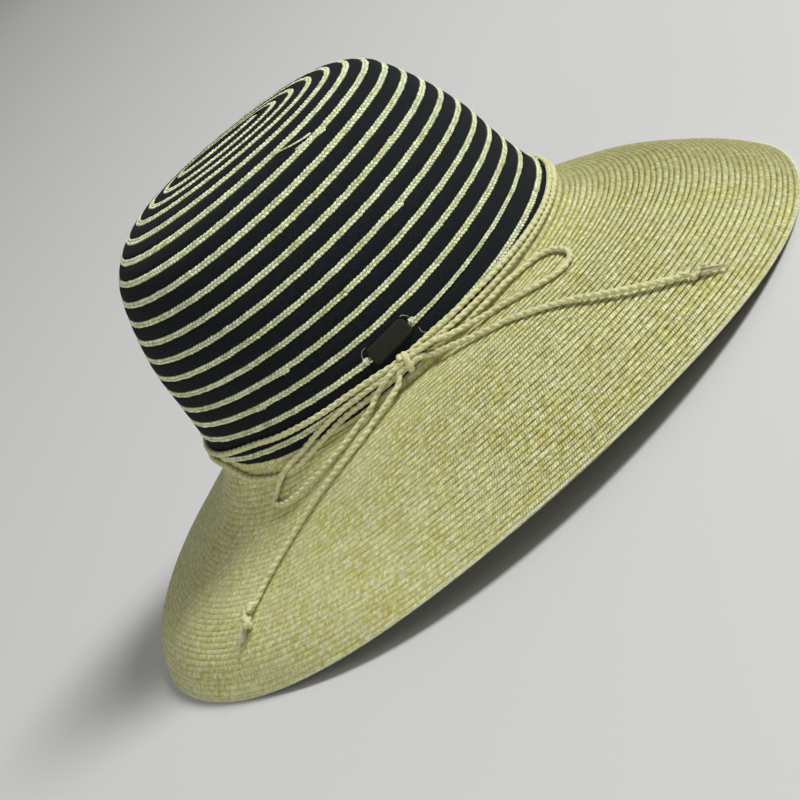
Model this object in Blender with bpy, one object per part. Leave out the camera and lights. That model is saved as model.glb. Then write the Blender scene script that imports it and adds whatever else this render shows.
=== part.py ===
"""A capeline: a wide-brimmed sun hat sewn from straw braid, with a cord tied round its crown.

The hat stands on the floor on its rim. The origin is on the floor under the middle of the
brim, +X points to the front of the hat, +Z up, and the bow is on the -Y side. Metres.

Crown and brim are described by ovals. A place on them is given by its azimuth round the
hat and by its distance along the surface, from the crown's tip or from the head band.
"""

import bisect
from math import atan2, ceil, cos, degrees, hypot, pi, radians, sin

import bmesh
import bpy
from mathutils import Matrix, Vector

MM = 0.001

# The head band, where the crown meets the brim: an oval for a head of 57 cm
BAND_LENGTH = 0.200
BAND_WIDTH = 0.168
BAND_HEIGHT = 0.0582
BAND_SIDE_DIP = 0.0025

# Walls, and the gaps that neighbouring pieces keep
WALL = 0.002
GAP = 0.0003

# The crown, from its tip down to the head band, one row for each oval
# half_length, height, shift along X, rise of the front end
CROWN_OVALS = [
    (0.0160, 0.1703, -0.0055, -0.0010),
    (0.0300, 0.1686, -0.0055, -0.0012),
    (0.0483, 0.1664, -0.0055, -0.0009),
    (0.0621, 0.1619, -0.0055, -0.0004),
    (0.0728, 0.1541, -0.0055, 0.0000),
    (0.0792, 0.1446, -0.0055, 0.0000),
    (0.0860, 0.1284, -0.0047, 0.0000),
    (0.0910, 0.1110, -0.0039, 0.0000),
    (0.0933, 0.0935, -0.0031, 0.0000),
    (0.0955, 0.0799, -0.0021, 0.0000),
    (BAND_LENGTH / 2, BAND_HEIGHT, 0.0000, 0.0000),
]
CROWN_DIP_START = 0.080
CROWN_STATIONS = 30
CROWN_RINGS = 12
CROWN_CAP_ARC = 0.004

# The brim's width along its surface, and its slope below the horizontal in degrees
# share of the width, slope at the front, at the back, at the sides
BRIM_WIDTH = 0.104
BRIM_SLOPES = [
    (0.0, 29, 62, -5),
    (0.2, 24, 35, 15),
    (0.4, 28, 21, 26),
    (0.6, 36, 21, 39),
    (0.8, 42, 36, 36),
    (1.0, 52, 78, 18),
]
# The rim is on the floor at the front and back, and waves up to its highest at the sides
RIM_SIDE_RISE = 0.0127
RIM_FLAT_AZIMUTH = radians(25)
BRIM_STATIONS = 48
BRIM_RING_SHARES = [0.0, 0.05, 0.11, 0.20, 0.33, 0.48, 0.63, 0.77, 0.89]

# The straw braid that runs round the crown as one spiral, between strips of dark fabric
STRAW_TURNS = 16.5
STRAW_FIRST_ARC = 0.0052
STRAW_PITCH = 0.0092
STRAW_WIDTH = 0.0032
STRAW_THICKNESS = 0.0007
STRAW_LIFT = 0.0004
STRAW_TOP = STRAW_LIFT + STRAW_THICKNESS
STRAW_END_RISE = 0.0030
STRAW_RISE_START = 0.110

# The cord round the crown, and its bow
CORD_RADIUS = 0.0013
CORD_CLEARANCE = 0.0005
CORD_LIFT = CORD_CLEARANCE + CORD_RADIUS
CORD_ON_STRAW = STRAW_TOP + CORD_LIFT
CORD_STEP = 0.0078
CORD_STRAIGHT_END = 0.0030
CORD_CURVE_STEPS = 16
# How far beside the straw the cord's middle starts to climb down from it, and over what width
STRAW_CLIMB_START = 0.0008
STRAW_CLIMB = 0.0010
# The height in millimetres of a strand that crosses over another one
OVER = 2.9

# The bow's knot, and where each strand meets its two side faces: height on the face, and
# distance out from the crown
KNOT_AZIMUTH = radians(-97)
KNOT_DOWN = -0.0080
KNOT_WIDTH = 0.0036
KNOT_HEIGHT = 0.0115
KNOT_DEPTH = 0.0064
KNOT_ROUNDING = 0.0008
KNOT_SOCKETS = {
    "top": (0.0034, CORD_ON_STRAW),
    "middle": (0.0002, CORD_ON_STRAW),
    "bottom": (-0.0031, CORD_ON_STRAW),
    "outer_top": (0.0009, CORD_ON_STRAW + OVER * MM),
    "outer_bottom": (-0.0022, CORD_ON_STRAW + OVER * MM),
}

# Cord routes, one row for each point: azimuth in degrees, distance down from the head band
# in millimetres (up the crown is negative), height over the lying position in millimetres
UPPER_BAND_ROUTE = [
    (-88, -10.3, 0), (-80, -9.6, 0), (-70, -9.0, 0), (-60, -8.8, 0), (-50, -8.6, 0),
    (-40, -8.6, 0), (-30, -8.9, 0), (-18, -9.5, 0), (-6, -9.6, 0), (8, -9.4, 0),
    (22, -9.0, 0), (36, -9.0, 0), (50, -9.0, 0), (64, -9.0, 0), (78, -9.0, 0),
    (92, -9.0, 0), (106, -9.0, 0), (120, -9.2, 0), (134, -9.8, 0), (148, -10.8, 0),
    (161, -11.6, 0), (173, -12.0, 0), (184, -11.8, 0), (195, -11.8, 0), (205, -12.3, 0),
    (215, -12.3, 0), (223, -11.4, 0), (231, -11.0, 0), (239, -11.0, 0), (247, -11.5, 0),
    (255, -11.6, 0),
]
LOWER_BAND_ROUTE = [
    (-88, -7.2, 0.3), (-80, -6.4, 0.5), (-70, -5.8, 0), (-60, -5.6, 0), (-50, -5.5, 0),
    (-40, -5.5, 0), (-30, -5.8, 0), (-18, -6.3, 0), (-6, -6.4, 0), (8, -6.2, 0),
    (22, -5.9, 0), (36, -5.9, 0), (50, -5.9, 0), (64, -5.9, 0), (78, -5.9, 0),
    (92, -5.9, 0), (106, -5.9, 0), (120, -6.1, 0), (134, -6.7, 0), (148, -7.6, 0),
    (161, -8.3, 0), (173, -8.6, 0), (183, -8.2, 0), (190, -6.0, 0), (196, -2.4, 0),
    (202, 2.4, 0), (209, 4.6, 0), (217, 6.4, 0), (225, 6.0, 0), (231, 2.6, 0),
    (237, -2.4, 0), (243, -4.4, 0), (251, -4.9, 0),
]
LEFT_LOOP_ROUTE = [
    (-106, -8.1, 0), (-113, -8.2, 0), (-120, -7.0, 0.2), (-126, -4.8, 0.5), (-131, -2.2, 1.2),
    (-135, 3.2, 2.2), (-138.5, 7.0, OVER + 0.7), (-142, 10.4, 2.4), (-144.6, 14.0, 0.6),
    (-145.8, 17.6, 0), (-144.4, 20.6, 0), (-141, 21.4, 0), (-136.5, 20.2, 0),
    (-131, 18.0, 0), (-125, 15.4, 0), (-119, 11.0, 0), (-115, 7.2, 0.3),
    (-111, 5.6, 1.6), (-107.5, -4.6, OVER), (-104, -7.2, OVER),
]
RIGHT_LOOP_ROUTE = [
    (-87.5, -4.0, 0), (-80, -3.2, 0), (-72, -2.6, 0), (-66, -2.2, 0), (-61, 2.4, 0),
    (-57.3, 5.0, 0), (-54.8, 8.4, 0), (-53.8, 12.4, 0), (-54.0, 16.6, 0), (-55.0, 20.6, 0),
    (-57.2, 23.6, 0), (-60.2, 24.4, 0), (-63.6, 22.4, 0), (-66.4, 19.2, 0), (-69.4, 15.6, 0),
    (-73, 11.2, 0), (-77, 7.6, 0.3), (-81.5, 5.6, 2.0), (-85.5, -4.6, OVER + 0.9),
    (-89, -7.2, OVER + 0.5),
]
LEFT_TAIL_ROUTE = [
    (-102, 6.4, 2.8), (-105.5, 9.2, 1.5), (-110.5, 12.8, 0.5), (-115, 16.6, 0),
    (-122, 21.6, 0), (-128, 26.2, 0), (-133.5, 32.6, 0), (-137.6, 39.4, 0),
    (-141, 47.0, 0), (-143.8, 56.0, 0), (-145.6, 64.6, 0),
]
RIGHT_TAIL_ROUTE = [
    (-92, 6.4, 2.8), (-88.5, 9.2, 1.5), (-84.5, 12.8, 0.5), (-80.5, 17.4, 0),
    (-76.8, 22.0, 0), (-74, 27.4, 0), (-71, 34.0, 0), (-68.2, 41.6, 0), (-65.8, 50.0, 0),
    (-63, 59.0, 0), (-60, 67.6, 0), (-57.6, 73.6, 0),
]

# The overhand knot at each loose end: its place and the place of its frayed tip
LEFT_END_PLACES = ((-146, 68.6), (-147, 82.0))
RIGHT_END_PLACES = ((-56.1, 77.2), (-52.2, 89.0))
# share of the piece's length, radius
END_KNOT_PROFILE = [
    (0.00, 0.0017),
    (0.10, 0.0026),
    (0.24, 0.0028),
    (0.36, 0.0020),
    (0.44, 0.0013),
    (0.80, 0.0017),
    (1.00, 0.0011),
]
END_KNOT_SIDES = 8

# The small dark tag sewn over the straw braid above the bow
TAG_AZIMUTH = radians(-96.5)
TAG_DOWN = -0.0182
TAG_LENGTH = 0.0210
TAG_HEIGHT = 0.0080
TAG_THICKNESS = 0.0006
TAG_LIFT = STRAW_TOP + GAP
TAG_PARTS = 5

# Colours of the pieces, their roughness and metallic value
MATERIALS = {
    "dark_fabric": ((0.012, 0.013, 0.018, 1), 0.90, 0.0),
    "straw": ((0.62, 0.56, 0.30, 1), 0.75, 0.0),
    "pale_straw": ((0.72, 0.70, 0.44, 1), 0.65, 0.0),
    "cord": ((0.66, 0.60, 0.42, 1), 0.85, 0.0),
    "tag": ((0.030, 0.030, 0.030, 1), 0.85, 0.0),
}

COLLECTION = "capeline"
CURVE_STEPS = 60
SLOPE_STEPS = 400
PROBE = 0.0005


def clear_scene():
    """Take out whatever the scene holds."""
    for thing in list(bpy.data.objects):
        bpy.data.objects.remove(thing, do_unlink=True)


def smooth_rows(rows, steps):
    """Read a smooth curve through the rows of a table, `steps` points for each span."""
    rows = [Vector(row) for row in rows]
    ends = [rows[0] * 2 - rows[1]] + rows + [rows[-1] * 2 - rows[-2]]
    curve = []
    for a, b, c, d in zip(ends, ends[1:], ends[2:], ends[3:]):
        for step in range(steps):
            t = step / steps
            curve.append(0.5 * (2 * b + (c - a) * t + (2 * a - 5 * b + 4 * c - d) * t ** 2
                                + (3 * b - 3 * c + d - a) * t ** 3))
    return curve + [rows[-1]]


def running_lengths(points):
    """The length along a line of points, up to each one."""
    lengths = [0.0]
    for one, two in zip(points, points[1:]):
        lengths.append(lengths[-1] + (two - one).length)
    return lengths


def read_at(keys, values, key):
    """Read a table of values between its keys."""
    if key <= keys[0]:
        return values[0]
    if key >= keys[-1]:
        return values[-1]
    index = bisect.bisect_right(keys, key)
    share = (key - keys[index - 1]) / (keys[index] - keys[index - 1])
    return values[index - 1] * (1 - share) + values[index] * share


def overhang_and_drop(slopes, drop):
    """How far out and down a brim with these slopes reaches, along its width.

    The last drop is made exactly the one that is asked for.
    """
    share_and_slope = smooth_rows(slopes, CURVE_STEPS)
    shares = [row[0] for row in share_and_slope]
    angles = [row[1] for row in share_and_slope]
    step = BRIM_WIDTH / SLOPE_STEPS
    reach = [Vector((0.0, 0.0))]
    for index in range(SLOPE_STEPS):
        angle = radians(read_at(shares, angles, (index + 0.5) / SLOPE_STEPS))
        reach.append(reach[-1] + Vector((cos(angle), sin(angle))) * step)
    fix = drop / reach[-1].y
    return [Vector((out, down * fix)) for out, down in reach]


CROWN_ROWS = smooth_rows(CROWN_OVALS, CURVE_STEPS)
CROWN_ARCS = running_lengths([row.xy for row in CROWN_ROWS])
CROWN_ARC = CROWN_ARCS[-1]
BRIM_ARCS = [BRIM_WIDTH * index / SLOPE_STEPS for index in range(SLOPE_STEPS + 1)]
FRONT_REACH = overhang_and_drop([(row[0], row[1]) for row in BRIM_SLOPES], BAND_HEIGHT)
BACK_REACH = overhang_and_drop([(row[0], row[2]) for row in BRIM_SLOPES], BAND_HEIGHT)
SIDE_REACH = overhang_and_drop([(row[0], row[3]) for row in BRIM_SLOPES],
                               BAND_HEIGHT - BAND_SIDE_DIP - RIM_SIDE_RISE)
# The band's middle lies off the origin, which is under the middle of the brim
BAND_X = (BACK_REACH[-1].x - FRONT_REACH[-1].x) / 2


def wave(azimuth):
    """0 at the front and back of the hat, 1 at its sides."""
    start = sin(RIM_FLAT_AZIMUTH)
    return max(0.0, (abs(sin(azimuth)) - start) / (1 - start)) ** 2


def crown_point(azimuth, arc):
    """A point of the crown's outer face, `arc` down from the line at its tip."""
    half_length, height, shift, rise = read_at(CROWN_ARCS, CROWN_ROWS, arc)
    dip_share = max(0.0, (arc - CROWN_DIP_START) / (CROWN_ARC - CROWN_DIP_START)) ** 2
    half_width = half_length - (BAND_LENGTH - BAND_WIDTH) / 2
    return Vector((
        BAND_X + shift + half_length * cos(azimuth),
        half_width * sin(azimuth),
        height + rise * cos(azimuth) - BAND_SIDE_DIP * dip_share * wave(azimuth),
    ))


def brim_point(azimuth, arc):
    """A point of the brim's upper face, `arc` out from the head band."""
    frontness = (1 + cos(azimuth)) / 2
    frontness = frontness ** 2 * (3 - 2 * frontness)
    sideness = wave(azimuth)
    ends = (read_at(BRIM_ARCS, FRONT_REACH, arc) * frontness
            + read_at(BRIM_ARCS, BACK_REACH, arc) * (1 - frontness))
    out, down = ends * (1 - sideness) + read_at(BRIM_ARCS, SIDE_REACH, arc) * sideness
    return Vector((
        BAND_X + (BAND_LENGTH / 2 + out) * cos(azimuth),
        (BAND_WIDTH / 2 + out) * sin(azimuth),
        BAND_HEIGHT - BAND_SIDE_DIP * sideness - down,
    ))


def outward(point_of, azimuth, arc, longest):
    """The unit vector that points out of the hat at a place on the crown or brim."""
    low = max(0.0, arc - PROBE)
    high = min(longest, arc + PROBE)
    around = point_of(azimuth + PROBE, arc) - point_of(azimuth - PROBE, arc)
    down = point_of(azimuth, high) - point_of(azimuth, low)
    return down.cross(around).normalized()


def crown_place(azimuth, arc, lift):
    """A point `lift` off the crown's outer face."""
    return crown_point(azimuth, arc) + outward(crown_point, azimuth, arc, CROWN_ARC) * lift


def brim_place(azimuth, arc, lift):
    """A point `lift` off the brim's upper face."""
    return brim_point(azimuth, arc) + outward(brim_point, azimuth, arc, BRIM_WIDTH) * lift


def cord_place(azimuth, down, lift):
    """A point over the hat, on the crown above the head band or on the brim below it."""
    if down < 0:
        return crown_place(azimuth, CROWN_ARC + down, lift)
    return brim_place(azimuth, down, lift)


def inside_band(azimuth, depth):
    """A point of the head band's oval, moved straight in by `depth`."""
    edge = crown_point(azimuth, CROWN_ARC)
    return Vector((
        edge.x - depth * cos(azimuth),
        edge.y - depth * sin(azimuth),
        edge.z,
    ))


def make_material(name):
    """A plain material with the named colour."""
    material = bpy.data.materials.new(name)
    material.use_nodes = True
    colour, roughness, metallic = MATERIALS[name]
    shader = material.node_tree.nodes["Principled BSDF"]
    shader.inputs["Base Color"].default_value = colour
    shader.inputs["Roughness"].default_value = roughness
    shader.inputs["Metallic"].default_value = metallic
    return material


def add_object(name, data, material_name):
    """Link an object with its own material to the hat's collection."""
    thing = bpy.data.objects.new(name, data)
    material = bpy.data.materials.get(material_name) or make_material(material_name)
    data.materials.append(material)
    bpy.data.collections[COLLECTION].objects.link(thing)
    return thing


def finish_mesh(name, work, material_name, smooth_angle=radians(40)):
    """Turn a bmesh into a smooth-shaded object with its faces pointing out."""
    bmesh.ops.recalc_face_normals(work, faces=work.faces)
    mesh = bpy.data.meshes.new(name)
    work.to_mesh(mesh)
    work.free()
    mesh.shade_smooth()
    mesh.set_sharp_from_angle(angle=smooth_angle)
    return add_object(name, mesh, material_name)


def spun_section(rings, closed, stations, first_azimuth=0.0):
    """Spin a section, one vertex for each ring, and put every vertex in its place.

    While it is spun, ring number n has a radius of n + 1, so that each vertex can be told
    by its radius. `rings` holds a function for each one, from azimuth to point.
    """
    work = bmesh.new()
    line = [work.verts.new((1 + index, 0, 0)) for index in range(len(rings))]
    edges = [work.edges.new(pair) for pair in zip(line, line[1:])]
    if closed:
        edges.append(work.edges.new((line[-1], line[0])))
    bmesh.ops.spin(work, geom=line + edges, cent=(0, 0, 0), axis=(0, 0, 1), dvec=(0, 0, 0),
                   angle=2 * pi, steps=stations, use_merge=True)
    for vertex in work.verts:
        index = round(hypot(vertex.co.x, vertex.co.y)) - 1
        azimuth = atan2(vertex.co.y, vertex.co.x) + first_azimuth
        vertex.co = rings[index](azimuth)
    return work


def fill_ends(work):
    """Close each open end of a swept body with one face."""
    bmesh.ops.holes_fill(work, edges=[edge for edge in work.edges if edge.is_boundary])


def build_crown():
    """The crown's hollow shell, open below, with a small flat oval at its tip."""
    span = CROWN_ARC - CROWN_CAP_ARC
    arcs = [CROWN_CAP_ARC + span * index / CROWN_RINGS for index in range(CROWN_RINGS)]
    outer = [lambda a, arc=arc: crown_point(a, arc) for arc in arcs]
    inner = [lambda a, arc=arc: crown_place(a, arc, -WALL) for arc in arcs[:0:-1]]
    rise = Vector((0, 0, GAP))
    mouth = [
        lambda a: inside_band(a, 0) + rise,
        lambda a: inside_band(a, WALL) + rise,
    ]
    under_tip = [lambda a: crown_point(a, CROWN_CAP_ARC) - Vector((0, 0, WALL))]
    work = spun_section(outer + mouth + inner + under_tip, False, CROWN_STATIONS)
    fill_ends(work)
    return finish_mesh("crown", work, "dark_fabric")


def build_brim():
    """The brim's shell: a ledge under the crown's edge, the wide slope and a flat rim."""
    arcs = [BRIM_WIDTH * share for share in BRIM_RING_SHARES]

    def rim_inside(azimuth):
        edge = brim_point(azimuth, BRIM_WIDTH)
        flat = Vector((cos(azimuth), sin(azimuth), 0))
        square = outward(brim_point, azimuth, BRIM_WIDTH, BRIM_WIDTH)
        share = wave(azimuth)
        return edge - (flat * (1 - share) + square * share) * WALL

    ledge = [
        lambda a: inside_band(a, WALL) - Vector((0, 0, WALL)),
        lambda a: inside_band(a, WALL),
    ]
    upper = [lambda a, arc=arc: brim_point(a, arc) for arc in arcs]
    rim = [lambda a: brim_point(a, BRIM_WIDTH), rim_inside]
    lower = [lambda a, arc=arc: brim_place(a, arc, -WALL) for arc in arcs[:0:-1]]
    half_station = pi / BRIM_STATIONS
    work = spun_section(ledge + upper + rim + lower, True, BRIM_STATIONS, half_station)
    return finish_mesh("brim", work, "straw")


def straw_arc(turn, azimuth):
    """How far down the crown the straw spiral is, `turn` turns after its start."""
    arc = STRAW_FIRST_ARC + STRAW_PITCH * (turn - 0.25)
    late = max(0.0, (arc - STRAW_RISE_START) / (CROWN_ARC - STRAW_RISE_START))
    return arc - STRAW_END_RISE * late ** 2 * cos(azimuth) ** 2


def build_straw_spiral():
    """The flat braid that winds down the crown from its front, clockwise from above."""
    section = [
        (-STRAW_WIDTH / 2, STRAW_LIFT),
        (-STRAW_WIDTH / 2, STRAW_TOP),
        (STRAW_WIDTH / 2, STRAW_TOP),
        (STRAW_WIDTH / 2, STRAW_LIFT),
    ]
    steps = round(STRAW_TURNS * CROWN_STATIONS)
    work = bmesh.new()
    line = [work.verts.new((1 + index, 0, 0)) for index in range(len(section))]
    edges = [work.edges.new(pair) for pair in zip(line, line[1:] + line[:1])]
    bmesh.ops.spin(work, geom=line + edges, cent=(0, 0, 0), axis=(0, 0, 1), dvec=(0, 0, 1),
                   angle=-2 * pi * STRAW_TURNS, steps=steps, use_merge=False)
    for vertex in work.verts:
        across, lift = section[round(hypot(vertex.co.x, vertex.co.y)) - 1]
        turn = round(vertex.co.z) / CROWN_STATIONS
        azimuth = -2 * pi * turn
        vertex.co = crown_place(azimuth, straw_arc(turn, azimuth) + across, lift)
    fill_ends(work)
    return finish_mesh("crown_straw_spiral", work, "pale_straw")


def frame_at(azimuth, down, lift):
    """Axes at a place on the crown: X towards the front, Y up the crown, Z out of it."""
    out = outward(crown_point, azimuth, CROWN_ARC + down, CROWN_ARC)
    along = crown_point(azimuth + PROBE, CROWN_ARC) - crown_point(azimuth - PROBE, CROWN_ARC)
    up = out.cross(along).normalized()
    turn = Matrix((up.cross(out), up, out)).transposed().to_4x4()
    return Matrix.Translation(cord_place(azimuth, down, lift)) @ turn


def build_bow_knot():
    """The strand that is wound upright round the bow's middle, as one rounded block."""
    work = bmesh.new()
    bmesh.ops.create_cube(work, size=1)
    bmesh.ops.scale(work, vec=(KNOT_WIDTH, KNOT_HEIGHT, KNOT_DEPTH), verts=work.verts)
    rails = [edge for edge in work.edges
             if abs(edge.verts[0].co.x - edge.verts[1].co.x) > KNOT_WIDTH / 2]
    bmesh.ops.bevel(work, geom=rails, offset=KNOT_ROUNDING, segments=2, profile=0.5,
                    affect="EDGES")
    knot = finish_mesh("bow_knot", work, "cord")
    knot.matrix_world = frame_at(KNOT_AZIMUTH, KNOT_DOWN, STRAW_TOP + GAP + KNOT_DEPTH / 2)
    return knot


def socket_points(side, socket):
    """The first points of a strand that leaves the knot: side is 1 to the front."""
    height, out = KNOT_SOCKETS[socket]
    place = frame_at(KNOT_AZIMUTH, KNOT_DOWN, 0)
    start = KNOT_WIDTH / 2 + GAP
    return [
        place @ Vector((side * start, height, out)),
        place @ Vector((side * (start + CORD_STRAIGHT_END), height, out)),
    ]


def lying_lift(azimuth, down):
    """How far off the hat a lying cord's middle is: it rides over the last row of straw."""
    turn = STRAW_TURNS - 0.5 + ((-degrees(azimuth)) % 360) / 360
    if down >= 0 or turn > STRAW_TURNS:
        return CORD_LIFT
    beside = abs(CROWN_ARC + down - straw_arc(turn, azimuth)) - STRAW_WIDTH / 2
    share = min(1.0, max(0.0, 1 - (beside - STRAW_CLIMB_START) / STRAW_CLIMB))
    return CORD_LIFT + (CORD_ON_STRAW - CORD_LIFT) * share


def route_points(route):
    """The points of a cord route's table."""
    points = []
    for azimuth, down, over in route:
        lift = lying_lift(radians(azimuth), down * MM) + over * MM
        points.append(cord_place(radians(azimuth), down * MM, lift))
    return points


def even_points(points, step):
    """Points at even steps along a smooth curve through the given ones.

    The curve's first and last spans stay straight, so that its ends are cut square.
    """
    fine = smooth_rows(points, CORD_CURVE_STEPS)[CORD_CURVE_STEPS:-CORD_CURVE_STEPS]
    lengths = running_lengths(fine)
    count = ceil(lengths[-1] / step)
    even = [read_at(lengths, fine, lengths[-1] * index / count) for index in range(count + 1)]
    return [points[0]] + even + [points[-1]]


def build_cord(name, points):
    """A round cord along the points."""
    curve = bpy.data.curves.new(name, "CURVE")
    curve.dimensions = "3D"
    curve.bevel_depth = CORD_RADIUS
    curve.bevel_resolution = 2
    curve.use_fill_caps = True
    places = even_points(points, CORD_STEP)
    spline = curve.splines.new("POLY")
    spline.points.add(len(places) - 1)
    for point, place in zip(spline.points, places):
        point.co = (*place, 1)
    return add_object(name, curve, "cord")


def band_points(first, last, route):
    """A turn of the cord round the crown, from the knot's front side to its back side."""
    return (socket_points(1, first) + route_points(route)
            + list(reversed(socket_points(-1, last))))


def loop_points(side, first, last, route):
    """A loop of the bow, out of the knot and back into the same side."""
    return (socket_points(side, first) + route_points(route)
            + list(reversed(socket_points(side, last))))


def end_axes(places):
    """Start, direction and length of an end knot with its frayed tip."""
    (azimuth, down), (tip_azimuth, tip_down) = places
    lift = max(radius for _, radius in END_KNOT_PROFILE) + GAP
    start = cord_place(radians(azimuth), down * MM, lift)
    tip = cord_place(radians(tip_azimuth), tip_down * MM, lift)
    return start, (tip - start).normalized(), (tip - start).length


def build_tail(side_name, side, route, places):
    """A loose end of the bow, and the knot with a frayed tip that ends it."""
    start, direction, length = end_axes(places)
    points = socket_points(side, "outer_bottom") + route_points(route)
    points += [start - direction * (GAP + CORD_STRAIGHT_END), start - direction * GAP]
    build_cord(f"cord_tail_{side_name}", points)

    rings = [lambda a, share=share, radius=radius:
             Vector((radius * cos(a), radius * sin(a), share * length))
             for share, radius in END_KNOT_PROFILE]
    work = spun_section(rings, False, END_KNOT_SIDES)
    fill_ends(work)
    knot = finish_mesh(f"tail_knot_{side_name}", work, "cord")
    turn = direction.to_track_quat("Z", "Y").to_matrix().to_4x4()
    knot.matrix_world = Matrix.Translation(start) @ turn


def build_tag():
    """The plain tag, a thin plate bent round the crown."""
    work = bmesh.new()
    bmesh.ops.create_cube(work, size=1)
    long_edges = [edge for edge in work.edges
                  if abs(edge.verts[0].co.x - edge.verts[1].co.x) > 0.5]
    bmesh.ops.subdivide_edges(work, edges=long_edges, cuts=TAG_PARTS - 1,
                              use_grid_fill=True)
    middle = crown_point(TAG_AZIMUTH, CROWN_ARC + TAG_DOWN)
    beside = crown_point(TAG_AZIMUTH + PROBE, CROWN_ARC + TAG_DOWN)
    turn = TAG_LENGTH * PROBE / (beside - middle).length
    for vertex in work.verts:
        azimuth = TAG_AZIMUTH + vertex.co.x * turn
        arc = CROWN_ARC + TAG_DOWN - vertex.co.y * TAG_HEIGHT
        lift = TAG_LIFT + (vertex.co.z + 0.5) * TAG_THICKNESS
        vertex.co = crown_place(azimuth, arc, lift)
    return finish_mesh("label_tag", work, "tag", radians(30))


def build():
    """Make every piece of the hat."""
    clear_scene()
    collection = bpy.data.collections.new(COLLECTION)
    bpy.context.scene.collection.children.link(collection)
    build_crown()
    build_straw_spiral()
    build_brim()
    build_bow_knot()
    build_cord("cord_band_upper", band_points("top", "top", UPPER_BAND_ROUTE))
    build_cord("cord_band_lower", band_points("middle", "bottom", LOWER_BAND_ROUTE))
    build_cord("bow_loop_left", loop_points(-1, "middle", "outer_top", LEFT_LOOP_ROUTE))
    build_cord("bow_loop_right", loop_points(1, "bottom", "outer_top", RIGHT_LOOP_ROUTE))
    build_tail("left", -1, LEFT_TAIL_ROUTE, LEFT_END_PLACES)
    build_tail("right", 1, RIGHT_TAIL_ROUTE, RIGHT_END_PLACES)
    build_tag()


build()
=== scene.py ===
# %% [markdown]
# # A capeline of sewn straw
# A capeline is a sun hat with a wide, soft brim. This one is sewn from plaited straw: the
# brim is all straw, row beside row, and the crown takes turns between a strip of black
# fabric and one narrow straw plait. A twisted cord runs twice round the crown and is tied
# in a small bow. The solids give the forms, and this script gives each of them the plait,
# twist and weave that the eye looks for.

# %% The frame
from functools import partial
from math import ceil, cos, degrees, pi, radians, sin

import bmesh
import bpy
import numpy as np
from mathutils import Matrix, Vector


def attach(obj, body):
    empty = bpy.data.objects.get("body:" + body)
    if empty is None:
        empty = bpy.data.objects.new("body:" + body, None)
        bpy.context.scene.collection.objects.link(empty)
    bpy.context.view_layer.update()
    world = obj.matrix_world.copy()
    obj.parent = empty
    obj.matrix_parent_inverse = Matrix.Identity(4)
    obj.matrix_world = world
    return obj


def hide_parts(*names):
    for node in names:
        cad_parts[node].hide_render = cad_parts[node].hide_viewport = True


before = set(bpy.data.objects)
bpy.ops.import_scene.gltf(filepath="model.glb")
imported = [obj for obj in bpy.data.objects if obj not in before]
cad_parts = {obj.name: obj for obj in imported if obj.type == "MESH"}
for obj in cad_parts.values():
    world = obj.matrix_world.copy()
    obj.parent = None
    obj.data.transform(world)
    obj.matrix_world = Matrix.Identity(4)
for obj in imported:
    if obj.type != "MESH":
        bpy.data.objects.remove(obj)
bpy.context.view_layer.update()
MM = 0.001
print("solids:", ", ".join(sorted(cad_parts)))


def new_object(name, data):
    """An object in the scene."""
    item = bpy.data.objects.new(name, data)
    bpy.context.scene.collection.objects.link(item)
    return item


def new_mesh(name, work):
    """A mesh with what the bmesh holds, which is freed."""
    mesh = bpy.data.meshes.new(name)
    work.to_mesh(mesh)
    work.free()
    return mesh

# %% [markdown]
# ## The hat's form
# Every piece is sewn to the hat or lies on it, so all of them need the same two surfaces,
# the crown and the brim. A place has an azimuth round the hat and a distance down it.

# %% Ovals of the crown, slopes of the brim
BAND_LENGTH = 0.200
BAND_WIDTH = 0.168
BAND_HEIGHT = 0.0582
BAND_SIDE_DIP = 0.0025
# half_length, height, shift along X, rise of the front end
CROWN_OVALS = [
    (0.0160, 0.1703, -0.0055, -0.0010),
    (0.0300, 0.1686, -0.0055, -0.0012),
    (0.0483, 0.1664, -0.0055, -0.0009),
    (0.0621, 0.1619, -0.0055, -0.0004),
    (0.0728, 0.1541, -0.0055, 0.0000),
    (0.0792, 0.1446, -0.0055, 0.0000),
    (0.0860, 0.1284, -0.0047, 0.0000),
    (0.0910, 0.1110, -0.0039, 0.0000),
    (0.0933, 0.0935, -0.0031, 0.0000),
    (0.0955, 0.0799, -0.0021, 0.0000),
    (BAND_LENGTH / 2, BAND_HEIGHT, 0.0000, 0.0000),
]
CROWN_DIP_START = 0.080
BRIM_WIDTH = 0.104
# share of the width, slope at the front, at the back, at the sides
BRIM_SLOPES = [
    (0.0, 29, 62, -5),
    (0.2, 24, 35, 15),
    (0.4, 28, 21, 26),
    (0.6, 36, 21, 39),
    (0.8, 42, 36, 36),
    (1.0, 52, 78, 18),
]
RIM_SIDE_RISE = 0.0127
RIM_FLAT = sin(radians(25))
CURVE_STEPS = 60
SLOPE_STEPS = 400
PROBE = 0.0005


def smooth_rows(rows, steps):
    """A smooth curve through the rows of a table, `steps` points for each span."""
    rows = np.array(rows, float)
    ends = np.vstack([2 * rows[0] - rows[1], rows, 2 * rows[-1] - rows[-2]])
    t = (np.arange(steps) / steps)[:, None]
    spans = [0.5 * (2 * b + (c - a) * t + (2 * a - 5 * b + 4 * c - d) * t ** 2
                    + (3 * b - 3 * c + d - a) * t ** 3)
             for a, b, c, d in zip(ends, ends[1:], ends[2:], ends[3:])]
    return np.vstack(spans + [rows[-1:]])


def running_lengths(points):
    """The length along a line of points, up to each one."""
    steps = np.linalg.norm(np.diff(points, axis=0), axis=1)
    return np.concatenate([[0], np.cumsum(steps)])


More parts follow.
